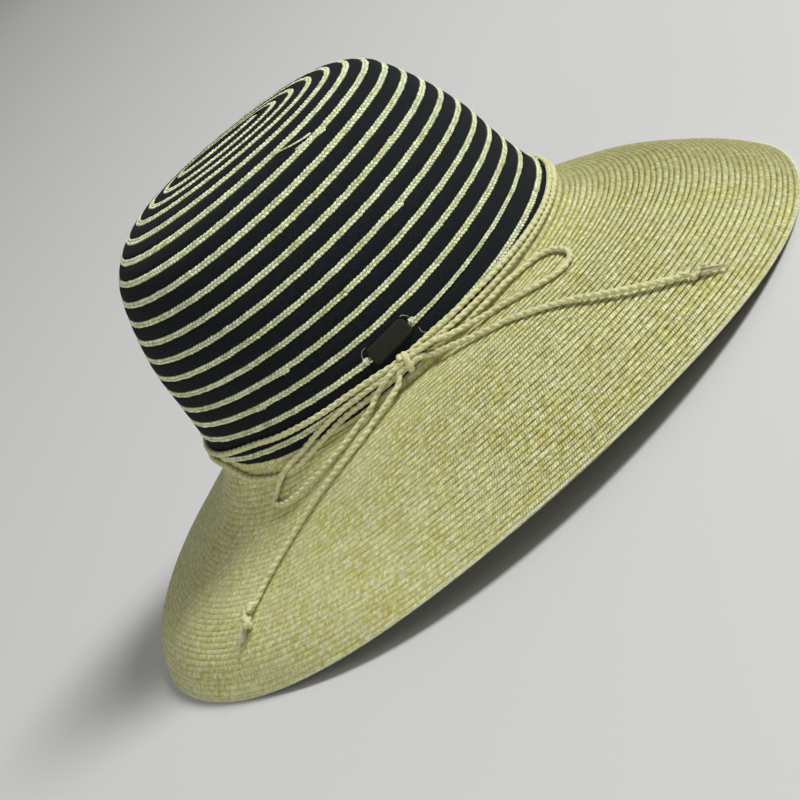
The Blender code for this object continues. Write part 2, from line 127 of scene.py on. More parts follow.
def overhang_and_drop(column, drop):
    """How far out and down the brim reaches along its width, for a column of slopes."""
    curve = smooth_rows([(row[0], row[column]) for row in BRIM_SLOPES], CURVE_STEPS)
    shares = (np.arange(SLOPE_STEPS) + 0.5) / SLOPE_STEPS
    angle = np.radians(np.interp(shares, curve[:, 0], curve[:, 1]))
    step = BRIM_WIDTH / SLOPE_STEPS
    out = np.concatenate([[0], np.cumsum(np.cos(angle))]) * step
    down = np.concatenate([[0], np.cumsum(np.sin(angle))]) * step
    return np.stack([out, down * drop / down[-1]])


CROWN_ROWS = smooth_rows(CROWN_OVALS, CURVE_STEPS)
CROWN_ARCS = running_lengths(CROWN_ROWS[:, :2])
CROWN_ARC = CROWN_ARCS[-1]
BRIM_ARCS = np.linspace(0, BRIM_WIDTH, SLOPE_STEPS + 1)
SIDE_DROP = BAND_HEIGHT - BAND_SIDE_DIP - RIM_SIDE_RISE
REACHES = [overhang_and_drop(column, drop)
           for column, drop in ((1, BAND_HEIGHT), (2, BAND_HEIGHT), (3, SIDE_DROP))]
BAND_X = (REACHES[1][0, -1] - REACHES[0][0, -1]) / 2
print(f"crown {CROWN_ARC / MM:.1f} mm from tip to band, brim {BRIM_WIDTH / MM:.0f} mm wide")

# %% Places on the hat


def wave(azimuth):
    """0 at the front and back of the hat, 1 at its sides."""
    return np.clip((np.abs(np.sin(azimuth)) - RIM_FLAT) / (1 - RIM_FLAT), 0, 1) ** 2


def crown_point(azimuth, arc):
    """Points of the crown's outer face, `arc` down from the line at its tip."""
    half, height, shift, rise = [np.interp(arc, CROWN_ARCS, column) for column in CROWN_ROWS.T]
    dip = np.clip((arc - CROWN_DIP_START) / (CROWN_ARC - CROWN_DIP_START), 0, 1) ** 2
    return np.stack([
        BAND_X + shift + half * np.cos(azimuth),
        (half - (BAND_LENGTH - BAND_WIDTH) / 2) * np.sin(azimuth),
        height + rise * np.cos(azimuth) - BAND_SIDE_DIP * dip * wave(azimuth),
    ], axis=-1)


def brim_point(azimuth, arc):
    """Points of the brim's upper face, `arc` out from the head band."""
    front = (1 + np.cos(azimuth)) / 2
    front = front ** 2 * (3 - 2 * front)
    side = wave(azimuth)
    weights = front * (1 - side), (1 - front) * (1 - side), side
    out, down = [sum(weight * np.interp(arc, BRIM_ARCS, reach[n])
                     for weight, reach in zip(weights, REACHES)) for n in (0, 1)]
    return np.stack([
        BAND_X + (BAND_LENGTH / 2 + out) * np.cos(azimuth),
        (BAND_WIDTH / 2 + out) * np.sin(azimuth),
        BAND_HEIGHT - BAND_SIDE_DIP * side - down,
    ], axis=-1)


def unit(vectors):
    """Vectors of length 1."""
    return vectors / np.maximum(np.linalg.norm(vectors, axis=-1, keepdims=True), 1e-12)


def lifted(point_of, longest, azimuth, arc, lift):
    """Points `lift` off a face of the hat."""
    azimuth, arc, lift = np.broadcast_arrays(azimuth, arc, lift)
    around = point_of(azimuth + PROBE, arc) - point_of(azimuth - PROBE, arc)
    down = (point_of(azimuth, np.minimum(arc + PROBE, longest))
            - point_of(azimuth, np.maximum(arc - PROBE, 0)))
    return point_of(azimuth, arc) + unit(np.cross(down, around)) * lift[..., None]


crown_place = partial(lifted, crown_point, CROWN_ARC)
brim_place = partial(lifted, brim_point, BRIM_WIDTH)


def hat_place(azimuth, down, lift):
    """Points off the hat, above the head band where `down` is negative, below it else."""
    azimuth, down, lift = np.broadcast_arrays(azimuth, down, lift)
    on_crown = crown_place(azimuth, CROWN_ARC + np.minimum(down, 0), lift)
    on_brim = brim_place(azimuth, np.maximum(down, 0), lift)
    return np.where(down[..., None] < 0, on_crown, on_brim)


def table_place(azimuth, down, lift):
    """A place of a table, which has degrees and millimetres, `lift` metres off the hat."""
    return hat_place(radians(azimuth), down * MM, lift)


front, back = hat_place(np.array([0.0, pi]), BRIM_WIDTH, 0.0)
print(f"rim to rim {(front[0] - back[0]) / MM:.1f} mm")

# %% [markdown]
# ## The camera
# The photograph looks at the hat's left side from a metre away and a little above, and it
# is tilted. The camera is rolled by 41 degrees, so the hat stays level on the floor.

# %% The camera
CAMERA_DISTANCE = 0.99991
CAMERA_HEIGHT = 0.3473
CAMERA_TURN = radians(-4.5915)
CAMERA_TARGET = Vector((BAND_X - 0.02064, 0, 0.02639))
CAMERA_ROLL = radians(-40.9283)
CAMERA_LENS = 103.53

camera = new_object("camera", bpy.data.cameras.new("camera"))
camera.location = (BAND_X + CAMERA_DISTANCE * sin(CAMERA_TURN),
                   -CAMERA_DISTANCE * cos(CAMERA_TURN), CAMERA_HEIGHT)
sight = (CAMERA_TARGET - camera.location).normalized()
level = sight.cross(Vector((0, 0, 1))).normalized()
upright = level.cross(sight)
right = level * cos(CAMERA_ROLL) + upright * sin(CAMERA_ROLL)
above = upright * cos(CAMERA_ROLL) - level * sin(CAMERA_ROLL)
camera.rotation_euler = Matrix((right, above, -sight)).transposed().to_euler()
camera.data.lens = CAMERA_LENS
camera.data.sensor_width = 36
bpy.context.scene.camera = camera
print("camera looks down by", round(degrees(-np.arcsin(sight.z)), 1), "degrees")

# %% [markdown]
# ## Sheets that are bent into place
# Plait, fabric and cord are long things with a regular pattern. Each is made as a flat
# sheet of squares, and then bent onto the hat or rolled up round a line. Where two edges
# of the sheet meet, they are merged.

# %% A sheet of squares, bent


def add_piece(name, work, material, slot, *replaced):
    """Turn a bmesh into a piece of the hat."""
    piece = new_object(name, new_mesh(name, work))
    mesh = piece.data
    mesh.shade_smooth()
    mesh.materials.append(material)
    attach(piece, "root")
    if replaced:
        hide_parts(*replaced)
    mesh.calc_loop_triangles()
    print(f"{name}: {len(mesh.loop_triangles)} triangles")
    return piece


def read_points(mesh):
    """The points of a mesh as an array."""
    points = np.empty(len(mesh.vertices) * 3, np.float32)
    mesh.vertices.foreach_get("co", points)
    return points.reshape(-1, 3)


def reshaped(mesh, points, uvs):
    """A bmesh of the mesh, which is removed, with other points and another UV map."""
    mesh.vertices.foreach_set("co", points.astype(np.float32).ravel())
    mesh.uv_layers[0].data.foreach_set("uv", uvs.astype(np.float32).ravel())
    work = bmesh.new()
    work.from_mesh(mesh)
    bpy.data.meshes.remove(mesh)
    return work


def bent_sheet(long_count, wide_count, place, pattern, close_ends=False):
    """A sheet of squares, with `place` for its points and `pattern` for its UV map."""
    flat = bmesh.new()
    flat.loops.layers.uv.new("UVMap")
    bmesh.ops.create_grid(flat, x_segments=long_count, y_segments=wide_count, size=1,
                          calc_uvs=True)
    mesh = new_mesh("sheet", flat)
    uvs = np.empty(len(mesh.loops) * 2, np.float32)
    mesh.uv_layers[0].data.foreach_get("uv", uvs)
    # the numbers of the squares along and across, for the points and for the UV map
    points, corners = [np.round(share * (long_count, wide_count)).astype(int).T
                       for share in ((read_points(mesh)[:, :2] + 1) / 2, uvs.reshape(-1, 2))]
    work = reshaped(mesh, place(*points), np.stack(pattern(*corners), axis=-1))
    bmesh.ops.remove_doubles(work, verts=work.verts, dist=2e-6)
    if close_ends:
        bmesh.ops.holes_fill(work, edges=[edge for edge in work.edges if edge.is_boundary])
    bmesh.ops.recalc_face_normals(work, faces=work.faces)
    return work


# %% [markdown]
# ## Nodes for the finishes
# Straw, fabric and cord share a few effects, such as blotches where the straw is bleached,
# and each of them is a node group. Sums with the outputs of nodes add Math nodes.

# %% Helpers for node trees
MATERIAL_LOOKS = ("Roughness", "Specular IOR Level", "Sheen Weight", "Sheen Roughness")


class Output:
    """A node's output, which can be added, subtracted and multiplied."""

    def __init__(self, socket):
        self.socket = socket
        self.tree = socket.id_data

    def __add__(self, other):
        return math("ADD", self, other)

    def __sub__(self, other):
        return math("SUBTRACT", self, other)

    def __mul__(self, other):
        return math("MULTIPLY", self, other)


def add_node(tree, kind, values=(), **settings):
    """A new node's outputs by number and by name. Its inputs get values or outputs."""
    node = tree.nodes.new("ShaderNode" + kind)
    for key, value in settings.items():
        setattr(node, key, value)
    for key, value in dict(values).items():
        if isinstance(value, Output):
            join(value, node.inputs[key])
        else:
            node.inputs[key].default_value = value
    return {key: Output(socket) for number, socket in enumerate(node.outputs)
            for key in (number, socket.name)}


def join(output, socket):
    """Link an output to an input."""
    output.tree.links.new(output.socket, socket)


def math(operation, *values):
    """The output of a Math node."""
    tree = next(value.tree for value in values if isinstance(value, Output))
    return add_node(tree, "Math", enumerate(values), operation=operation)[0]


def smooth_step(value, low, high, to_low=0.0, to_high=1.0):
    """The value, from low to high, made into a soft step."""
    return add_node(value.tree, "MapRange", enumerate((value, low, high, to_low, to_high)),
                    interpolation_type="SMOOTHSTEP")[0]


def mix_colours(factor, one, two):
    """The output of a Mix node for colours."""
    return add_node(factor.tree, "Mix", {0: factor, 6: one, 7: two}, data_type="RGBA")[2]


def noise(vector, scale, detail):
    """The output of a Noise Texture node."""
    values = {"Vector": vector, "Scale": scale, "Detail": detail}
    return add_node(vector.tree, "TexNoise", values)[0]


def combine(*parts):
    """The vector of two or three outputs."""
    return add_node(parts[0].tree, "CombineXYZ", enumerate(parts))[0]


def new_group(name, inputs, outputs):
    """An empty node group: its tree, its inputs, and the sockets that its outputs need."""
    tree = bpy.data.node_groups.new(name, "ShaderNodeTree")
    for labels, way in ((inputs, "INPUT"), (outputs, "OUTPUT")):
        for label in labels:
            tree.interface.new_socket(name=label, in_out=way, socket_type="NodeSocketFloat")
    given = tree.nodes.new("NodeGroupInput").outputs
    return tree, [Output(given[label]) for label in inputs], tree.nodes.new(
        "NodeGroupOutput").inputs


def use_group(tree, group, *values):
    """The outputs of a node that holds a group."""
    return add_node(tree, "Group", enumerate(values), node_tree=group)


def new_material(name, *looks):
    """A material with its tree and the inputs of its shader."""
    material = bpy.data.materials.new(name)
    material.use_nodes = True
    inputs = material.node_tree.nodes["Principled BSDF"].inputs
    for label, value in zip(MATERIAL_LOOKS, looks):
        inputs[label].default_value = value
    return material, material.node_tree, inputs


def uv_parts(tree):
    """U and V of the piece's UV map."""
    split = add_node(tree, "SeparateXYZ", {0: add_node(tree, "UVMap", uv_map="UVMap")[0]})
    return split[0], split[1]


def bump(inputs, height, distance, strength):
    """Feed a height into the shader's normal."""
    values = {"Height": height, "Distance": distance, "Strength": strength}
    join(add_node(height.tree, "Bump", values)[0], inputs["Normal"])


# %% The effect of own shades: every straw has its own lightness and warmth
shades, (number, row, seed), ends = new_group("own_shades", ("Number", "Row", "Seed"),
                                              ("Lightness", "Warmth"))
for label, moved in (("Lightness", 0.0), ("Warmth", 10.0)):
    place = combine(math("FLOOR", number) + 0.5, math("FLOOR", row) + 0.5, seed + moved)
    join(add_node(shades, "TexWhiteNoise", {"Vector": place}, noise_dimensions="3D")[0],
         ends[label])

# %% The effect of beads: where one straw of a plait ends and the next starts
beads, (along, row, bead_length, slant, seed), ends = new_group(
    "straw_beads", ("Along", "Row", "Bead Length", "Slant", "Seed"),
    ("Groove", "Gap", "Number"))
off_middle = math("FRACT", row) - 0.5
shuffle = add_node(beads, "TexWhiteNoise", {"W": math("FLOOR", row) + seed},
                   noise_dimensions="1D")[0]
bead_place = math("DIVIDE", along, bead_length) + shuffle + off_middle * slant
bead_share = math("ABSOLUTE", math("FRACT", bead_place) - 0.5)
beside = smooth_step(math("ABSOLUTE", off_middle), 0.27, 0.46)
join(beside * smooth_step(bead_share, 0.22, 0.44, 1.0, 0.38), ends["Groove"])
join(smooth_step(bead_share, 0.24, 0.46), ends["Gap"])
join(bead_place, ends["Number"])

# %% The effect of bleaching: soft blotches over the whole hat
bleach, (scale, fineness), ends = new_group("bleached_blotches", ("Scale", "Fineness"),
                                            ("Large", "Small"))
here = add_node(bleach, "TexCoord")["Object"]
join(smooth_step(noise(here, scale, 2.0), 0.35, 0.65), ends["Large"])
join(smooth_step(noise(here, scale * fineness, 2.0), 0.40, 0.68), ends["Small"])
print("node groups:", [group.name for group in bpy.data.node_groups])

# %% Straw of the brim
BEAD_LENGTH_MM = 1.25
BEAD_SLANT = 1.0
# painted shade in grooves, gaps and slanting views, and the straw's own dark flecks
BRIM_SHADE_AND_FLECK = (0.13, 0.105, 0.008, 1)
# middle, light, bleached, warm
BRIM_COLOURS = ((0.50, 0.49, 0.14, 1), (0.75, 0.74, 0.29, 1), (0.82, 0.91, 0.68, 1),
                (0.64, 0.52, 0.19, 1))


def straw_colour(own, middle, light, bleached, warm):
    """The colour of straw whose pieces have their own shades, with bleached blotches."""
    blotch = use_group(own["Warmth"].tree, bleach, 55.0, 6.0)
    straw = mix_colours(own["Lightness"], middle, light)
    straw = mix_colours(smooth_step(own["Warmth"], 0.66, 1.0, 0.0, 0.7), straw, warm)
    pale = math("MAXIMUM", blotch["Large"] * 0.25, blotch["Small"] * 0.50)
    return mix_colours(pale, straw, bleached)


def row_straw(name, seed):
    """Sewn rows of plait: the UV map has millimetres along a row, and the row's number."""
    material, tree, inputs = new_material(name, 0.5, 0.22, 0.03, 0.4)
    along, row = uv_parts(tree)
    plait = use_group(tree, beads, along, row, BEAD_LENGTH_MM, BEAD_SLANT, seed)
    own = use_group(tree, shades, plait["Number"], row, seed)
    here = add_node(tree, "TexCoord")["Object"]
    fleck = smooth_step(noise(here, 620.0, 2.0), 0.36, 0.64)
    stitch = smooth_step(noise(here, 420.0, 1.0), 0.36, 0.64)
    groove = plait["Groove"] * (stitch * 0.52 + 0.48)
    gap = plait["Gap"] * (fleck * 0.55 + 0.30)
    # the grooves and their painted shade are softer towards the back, at the front end and near
    # the crown
    x = add_node(tree, "SeparateXYZ", {0: here})[0]
    depth = math("MAXIMUM", groove, gap) * smooth_step(x, -0.12, 0.01, 0.27, 1.0)
    depth = depth * smooth_step(x, 0.07, 0.15, 1.0, 0.85)
    depth = depth * smooth_step(row, 4.0, 20.0, 0.62, 1.0)
    depth = math("MAXIMUM", depth, fleck * 0.30)
    # painted shade: where the straw is seen slanting it is mixed towards the shade colour, less
    # so towards -X
    facing = add_node(tree, "LayerWeight", {"Blend": 0.5})["Facing"]
    grazing_shade = smooth_step(facing, 0.50, 0.80, 0.0, 0.45)
    grazing_shade = grazing_shade * smooth_step(x, -0.08, 0.04, 0.30, 1.0)
    straw = mix_colours(grazing_shade, straw_colour(own, *BRIM_COLOURS), BRIM_SHADE_AND_FLECK)
    # painted shade: grooves and gaps are darkened in colour too; the flecks are the straw's own
    join(mix_colours(depth, straw, BRIM_SHADE_AND_FLECK), inputs["Base Color"])
    join(smooth_step(own["Lightness"], 0.0, 1.0, 0.62, 0.40), inputs["Roughness"])
    bump(inputs, math("SUBTRACT", 1.0, depth), 0.40 * MM, 1.0)
    return material


brim_straw = row_straw("brim_straw", 1.0)

# %% Straw of the crown


def grain_straw(name, seed, dark, *colours):
    """Plait whose grains are in the mesh: the UV map has each grain's number and row."""
    material, tree, inputs = new_material(name, 0.45, 0.4, 0.1, 0.4)
    number, row = uv_parts(tree)
    straw = straw_colour(use_group(tree, shades, number, row, seed), *colours)
    lines = noise(combine(number, row * 9.0), 2.0, 1.0)
    depth = smooth_step(lines, 0.5, 0.75, 0.0, 0.3)
    join(mix_colours(depth, straw, dark), inputs["Base Color"])
    bump(inputs, lines, 0.2 * MM, 0.8)
    return material


# dark, middle, light, bleached, warm
crown_straw = grain_straw("crown_straw", 7.0, (0.22, 0.20, 0.05, 1), (0.43, 0.48, 0.21, 1),
                          (0.90, 0.98, 0.56, 1), (0.94, 0.98, 0.86, 1), (0.73, 0.63, 0.35, 1))
# painted shade: the backing is the same straw coloured much darker, for the shade under the
# grains
shaded_backing_straw = grain_straw("shaded_backing_straw", 9.0, (0.08, 0.08, 0.02, 1), (0.14, 0.16, 0.05, 1),
                            (0.26, 0.29, 0.11, 1), (0.38, 0.42, 0.22, 1), (0.24, 0.20, 0.08, 1))
edge_straw = grain_straw("edge_straw", 3.0, (0.22, 0.20, 0.10, 1), (0.60, 0.60, 0.30, 1),
                         (0.94, 0.94, 0.72, 1), (0.94, 0.96, 0.84, 1), (0.70, 0.60, 0.34, 1))

# %% Black fabric of the crown, dark cloth of the tag


def fabric_material(name, colour, worn, weave_mm, depth):
    """A matte woven fabric, with the UV map in millimetres."""
    material, tree, inputs = new_material(name, 0.95, 0.10, 0.02, 0.6)
    one, two = [math("SINE", part * (2 * pi / weave_mm)) for part in uv_parts(tree)]
    weave = one * two
    lint = use_group(tree, bleach, 90.0, 14.0)["Small"] * 0.35
    shade = lint + smooth_step(weave, 0, 1) * 0.3
    join(mix_colours(shade, colour, worn), inputs["Base Color"])
    bump(inputs, weave, depth, 0.8)
    return material


black_fabric = fabric_material("black_fabric", (0.0064, 0.0088, 0.0088, 1),
                               (0.025, 0.029, 0.037, 1), 0.7, 0.12 * MM)
tag_cloth = fabric_material("tag_cloth", (0.019, 0.021, 0.013, 1),
                            (0.042, 0.046, 0.032, 1), 0.5, 0.05 * MM)

# %% Cream cord


def cord_material(name, dark, middle, light):
    """Twisted fibre, with U in millimetres along the cord and V once round it."""
    material, tree, inputs = new_material(name, 0.8, 0.2, 0.3, 0.5)
    along, around = uv_parts(tree)
    fibres = noise(combine(along * 0.5, around * 14.0), 2.2, 3.0)
    straw = mix_colours(smooth_step(fibres, 0.3, 0.7), middle, light)
    worn = use_group(tree, bleach, 60.0, 9.0)["Small"] * 0.35
    join(mix_colours(worn, straw, dark), inputs["Base Color"])
    bump(inputs, fibres, 0.25 * MM, 0.7)
    return material


cream_cord = cord_material("cream_cord", (0.30, 0.23, 0.09, 1), (0.56, 0.54, 0.24, 1),
                           (0.80, 0.80, 0.47, 1))
frayed_fibre = cord_material("frayed_fibre", (0.40, 0.32, 0.17, 1), (0.64, 0.58, 0.36, 1),
                             (0.82, 0.78, 0.56, 1))

# %% [markdown]
# ## The cord
# The cord is two strands of fibre twisted round each other, 2.6 mm across. Its section is
# the outline of two strands side by side, which turns along the cord, so the cord's own
# outline shows the twist.

# %% Routes of the cord
CORD_RADIUS = 0.0013
CORD_CLEARANCE = 0.0005
CORD_LIFT = CORD_CLEARANCE + CORD_RADIUS
STRAW_TURNS = 16.5
STRAW_FIRST_ARC = 0.0052
STRAW_PITCH = 0.0092
STRAW_WIDTH = 0.0032
STRAW_LIFT = 0.0004
STRAW_TOP = STRAW_LIFT + 0.0007
STRAW_END_RISE = 0.0030
STRAW_RISE_START = 0.110
STRAW_CLIMB_START = 0.0008
STRAW_CLIMB = 0.0010
CORD_ON_STRAW = STRAW_TOP + CORD_LIFT
CORD_STRAIGHT_END = 0.0030
OVER = 2.9
GAP = 0.0003
KNOT_AZIMUTH = radians(-97)
KNOT_DOWN = -0.0080
KNOT_WIDTH = 0.0036
KNOT_DEPTH = 0.0064
CORD_IN_KNOT = 0.0010
# height in the knot, and millimetres over the cord that lies on the straw
KNOT_SOCKETS = {"top": (0.0019, 0), "middle": (-0.0003, 0), "bottom": (-0.0026, 0),
                "outer_top": (0.0007, OVER), "outer_bottom": (-0.0018, OVER)}
# azimuth in degrees, millimetres down from the head band and, where the cord is lifted,
# millimetres over the lying cord
FLAT_AZIMUTHS = range(22, 107, 14)
UPPER_BAND_ROUTE = [
    (-88, -9.9), (-80, -9.5), (-70, -8.9), (-60, -8.1, 0.2), (-50, -7.4, 0.9),
    (-40, -7.3, 1.0), (-30, -8.0, 0.6), (-18, -9.3), (-6, -9.6), (8, -9.4),
    *[(azimuth, -9.0) for azimuth in FLAT_AZIMUTHS], (120, -9.2), (134, -9.8), (148, -10.8),
    (161, -11.6, -0.5), (173, -12.0, -0.9), (184, -11.8, -0.9), (195, -11.8, -0.5),
    (205, -12.3), (215, -12.3), (223, -11.4), (231, -11.0), (239, -10.9), (247, -11.1),
    (255, -10.7),
]
LOWER_BAND_ROUTE = [
    (-88, -7.2, 0.3), (-80, -6.4, 0.5), (-70, -5.8), (-60, -5.3), (-50, -4.9), (-40, -4.9),
    (-30, -5.3), (-18, -6.1), (-6, -6.4), (8, -6.2),
    *[(azimuth, -5.9) for azimuth in FLAT_AZIMUTHS], (120, -6.1), (134, -6.7), (148, -7.6),
    (161, -8.3, -0.5), (173, -8.6, -0.9), (183, -8.2, -0.9), (190, -6.0, -0.4), (196, -2.4),
    (202, 2.4), (209, 4.6), (217, 6.4), (225, 6.0), (231, 2.6), (237, -2.4), (243, -4.4),
    (251, -4.9),
]
LEFT_LOOP_ROUTE = [
    (-106, -8.1), (-113, -8.2), (-120, -7.0, 0.2), (-126, -4.8, 0.5), (-131, -2.2, 1.2),
    (-135, 3.2, 2.2), (-138.5, 7.0, OVER + 0.7), (-142, 10.2, 2.4), (-144.6, 13.2, 0.6),
    (-145.9, 16.0), (-145.0, 18.7), (-142, 20.0), (-137.5, 19.7), (-131.5, 17.7), (-125, 15.0),
    (-119, 11.0), (-115, 7.2, 0.3), (-111, 5.6, 1.6), (-107.5, -4.6, OVER), (-104, -7.2, OVER),
]
RIGHT_LOOP_ROUTE = [
    (-87.5, -4.0), (-80, -3.2), (-72, -2.6), (-66, -2.2), (-61, 2.4), (-57.3, 5.0),
    (-54.8, 8.4), (-53.8, 12.4), (-54.0, 16.6), (-55.0, 20.6), (-57.2, 23.6), (-60.2, 24.4),
    (-63.6, 22.4), (-66.4, 19.2), (-69.4, 15.6), (-73, 11.2), (-77, 7.6, 0.3),
    (-81.5, 5.6, 2.0), (-85.5, -4.6, OVER + 0.9), (-89, -7.2, OVER + 0.5),
]
LEFT_TAIL_ROUTE = [
    (-102, 6.4, 2.8), (-105.5, 9.2, 1.5), (-110.5, 12.8, 0.5), (-115, 16.6), (-122, 21.6),
    (-128, 26.2), (-133.5, 32.6), (-137.6, 39.4), (-141, 47.0), (-143.8, 56.0), (-145.6, 64.6),
]
RIGHT_TAIL_ROUTE = [
    (-92, 4.0, 2.8), (-88.5, 8.0, 1.8), (-84.5, 12.4, 0.6), (-80.5, 17.4), (-76.8, 22.0),
    (-74, 27.4), (-71, 34.0), (-68.2, 41.6, 0.4), (-65.8, 50.0, 0.9), (-63, 59.0, 1.3),
    (-60, 67.6, 1.3), (-57.6, 73.6, 0.9),
]
LEFT_END_PLACES = ((-146, 68.6), (-147, 82.0))
RIGHT_END_PLACES = ((-56.1, 77.2), (-52.2, 89.0))
END_KNOT_LIFT = 0.0028 + GAP

# %% Places along a route


def straw_arc(turn, azimuth):
    """How far down the crown the straw spiral is, `turn` turns after its start."""
    arc = STRAW_FIRST_ARC + STRAW_PITCH * (turn - 0.25)
    late = np.maximum(0, (arc - STRAW_RISE_START) / (CROWN_ARC - STRAW_RISE_START))
    return arc - STRAW_END_RISE * late ** 2 * np.cos(azimuth) ** 2


def lying_lift(azimuth, down):
    """How far off the hat a lying cord's middle is: it rides over the last row of straw."""
    turn = STRAW_TURNS - 0.5 + (-azimuth % 360) / 360
    if down >= 0 or turn > STRAW_TURNS:
        return CORD_LIFT
    beside = abs(CROWN_ARC + down * MM - straw_arc(turn, radians(azimuth))) - STRAW_WIDTH / 2
    share = np.clip(1 - (beside - STRAW_CLIMB_START) / STRAW_CLIMB, 0, 1)
    return CORD_LIFT + (CORD_ON_STRAW - CORD_LIFT) * share


def route_points(route):
    """The points of a cord route's table."""
    return [table_place(azimuth, down, lying_lift(azimuth, down) + sum(over) * MM)
            for azimuth, down, *over in route]


def knot_frame(out):
    """Place and axes at the bow's knot: X to the front, Y up the crown, Z out of it."""
    middle = hat_place(KNOT_AZIMUTH, KNOT_DOWN, out)
    z = unit(hat_place(KNOT_AZIMUTH, KNOT_DOWN, out + MM) - middle)
    along = (crown_point(KNOT_AZIMUTH + PROBE, CROWN_ARC)
             - crown_point(KNOT_AZIMUTH - PROBE, CROWN_ARC))
    y = unit(np.cross(z, along))
    return middle, np.stack([np.cross(y, z), y, z])


def socket_points(side, socket):
    """The first points of a strand that leaves the knot: side is 1 to the front."""
    height, over = KNOT_SOCKETS[socket]
    middle, axes = knot_frame(0.0)
    start = KNOT_WIDTH / 2 - CORD_IN_KNOT
    return [middle + np.array((side * reach, height, CORD_ON_STRAW + over * MM)) @ axes
            for reach in (start, KNOT_WIDTH / 2 + GAP + CORD_STRAIGHT_END)]


def between(first, last, route):
    """A strand between two sockets of the knot, each with its side, along a route."""
    return socket_points(*first) + route_points(route) + socket_points(*last)[::-1]


def end_axes(places):
    """Start, direction and length of an end knot with its frayed tip."""
    start, tip = [table_place(*place, END_KNOT_LIFT) for place in places]
    length = np.linalg.norm(tip - start)
    return start, (tip - start) / length, length


def tail_points(side, route, places):
    """A loose end of the bow, up to its end knot."""
    start, direction, _ = end_axes(places)
    ends = [start - direction * (GAP + CORD_STRAIGHT_END), start - direction * GAP]
    return socket_points(side, "outer_bottom") + route_points(route) + ends


# %% The two strands of the cord, twisted
TWIST_PITCH = 0.0074
STRAND_RADIUS = 0.00106
STRAND_OFFSET = 0.00035
CORD_SIDES = 16
RING_STEP = 0.00042


def even_points(points, step):
    """Points at even steps along a smooth curve through the given ones."""
    fine = smooth_rows(points, 24)
    lengths = running_lengths(fine)
    count = ceil(lengths[-1] / step)
    marks = np.linspace(0, lengths[-1], count + 1)
    return np.stack([np.interp(marks, lengths, column) for column in fine.T], axis=-1)


def frames_along(points):
    """Two directions square to the line at each of its points, without a twist."""
    tangents = unit(np.gradient(points, axis=0))
    side = unit(np.cross(tangents[0], (0, 0, 1)))
    sides = []
    for tangent in tangents:
        side = unit(side - tangent * np.dot(side, tangent))
        sides.append(side)
    sides = np.array(sides)
    return sides, np.cross(tangents, sides)


def tube(points, sides, section, marks):
    """A closed tube along the points, whose `section` gives its radii and turned angles."""
    one, two = frames_along(points)

    def place(i, j):
        reach, angle = section(i, 2 * pi * (j % sides) / sides)
        return (points[i] + one[i] * (reach * np.cos(angle))[:, None]
                + two[i] * (reach * np.sin(angle))[:, None])

    return bent_sheet(len(points) - 1, sides, place, lambda i, j: (marks[i], j / sides), True)


def twisted_cord(points, strand, offset, pitch, sides):
    """Two strands, each `offset` from the middle, twisted along the points."""
    lengths = running_lengths(points)

    def section(i, angle):
        reach = offset * np.abs(np.cos(angle)) + np.sqrt(
            np.maximum(strand ** 2 - (offset * np.sin(angle)) ** 2, 0))
        return reach, angle + 2 * pi * lengths[i] / pitch

    return tube(points, sides, section, lengths / MM)


def add_cord(cad_name, route):
    """A piece of the cord along a route, and the points of its middle."""
    name = "twisted_" + cad_name.split("_", 1)[1]
    points = even_points(route, RING_STEP)
    work = twisted_cord(points, STRAND_RADIUS, STRAND_OFFSET, TWIST_PITCH, CORD_SIDES)
    print(f"{name}: {running_lengths(points)[-1]:.4f} m long")
    return add_piece(name, work, cream_cord, "cord", cad_name), points


add_cord("cord_band_upper", between((1, "top"), (-1, "top"), UPPER_BAND_ROUTE))
add_cord("cord_band_lower", between((1, "middle"), (-1, "bottom"), LOWER_BAND_ROUTE))
loops = [add_cord("bow_loop_left", between((-1, "middle"), (-1, "outer_top"), LEFT_LOOP_ROUTE)),
         add_cord("bow_loop_right", between((1, "bottom"), (1, "outer_top"), RIGHT_LOOP_ROUTE))]
tails = [add_cord("cord_tail_left", tail_points(-1, LEFT_TAIL_ROUTE, LEFT_END_PLACES)),
         add_cord("cord_tail_right", tail_points(1, RIGHT_TAIL_ROUTE, RIGHT_END_PLACES))]

# %% [markdown]
# ## The knots
# The bow is held by one strand that is wound upright round its middle. Each loose end is
# stopped with an overhand knot, and the fibres past it have come apart into a small brush.

# %% The bow's knot
WOUND_HALF_HEIGHT = 0.0033
WOUND_HALF_DEPTH = 0.0021
WOUND_LEAN = radians(-3)
WOUND_ANGLES = radians(40), radians(440)
WOUND_PLACES = -0.0017, 0.0009
WOUND_DROP = 0.0004
WOUND_STRAND = 0.00150
WOUND_OFFSET = 0.00010
middle, axes = knot_frame(STRAW_TOP + GAP + KNOT_DEPTH / 2)
angles = np.linspace(*WOUND_ANGLES, 80)
ring = np.stack([WOUND_HALF_HEIGHT * np.sin(angles) * -sin(WOUND_LEAN)
                 + np.interp(angles, WOUND_ANGLES, WOUND_PLACES),
                 WOUND_HALF_HEIGHT * np.sin(angles) * cos(WOUND_LEAN),
                 WOUND_HALF_DEPTH * np.cos(angles)], axis=-1)
add_piece("wound_bow_knot", twisted_cord(middle - WOUND_DROP * axes[1] + ring @ axes,
                                         WOUND_STRAND, WOUND_OFFSET, TWIST_PITCH, CORD_SIDES),
          cream_cord, "cord", "bow_knot")

# %% The overhand knots and their frayed tips
KNOT_SIZE = 0.00150
KNOT_REACH = 0.0033
RIGHT_KNOT_TURN = radians(35)
KNOT_STEP = 0.0003
KNOT_STRAND = 0.00110
KNOT_OFFSET = 0.00033
KNOT_TWIST_PITCH = 0.0046
KNOT_SIDES = 12
FRAY_START = 0.0044
FRAY_WIDTH = 0.00084
FRAY_SPREAD = 0.00035
FRAY_COUNT = 34
FRAY_STEPS = 10
FIBRE_RADIUS = 0.00025
fray_rng = np.random.default_rng(5)


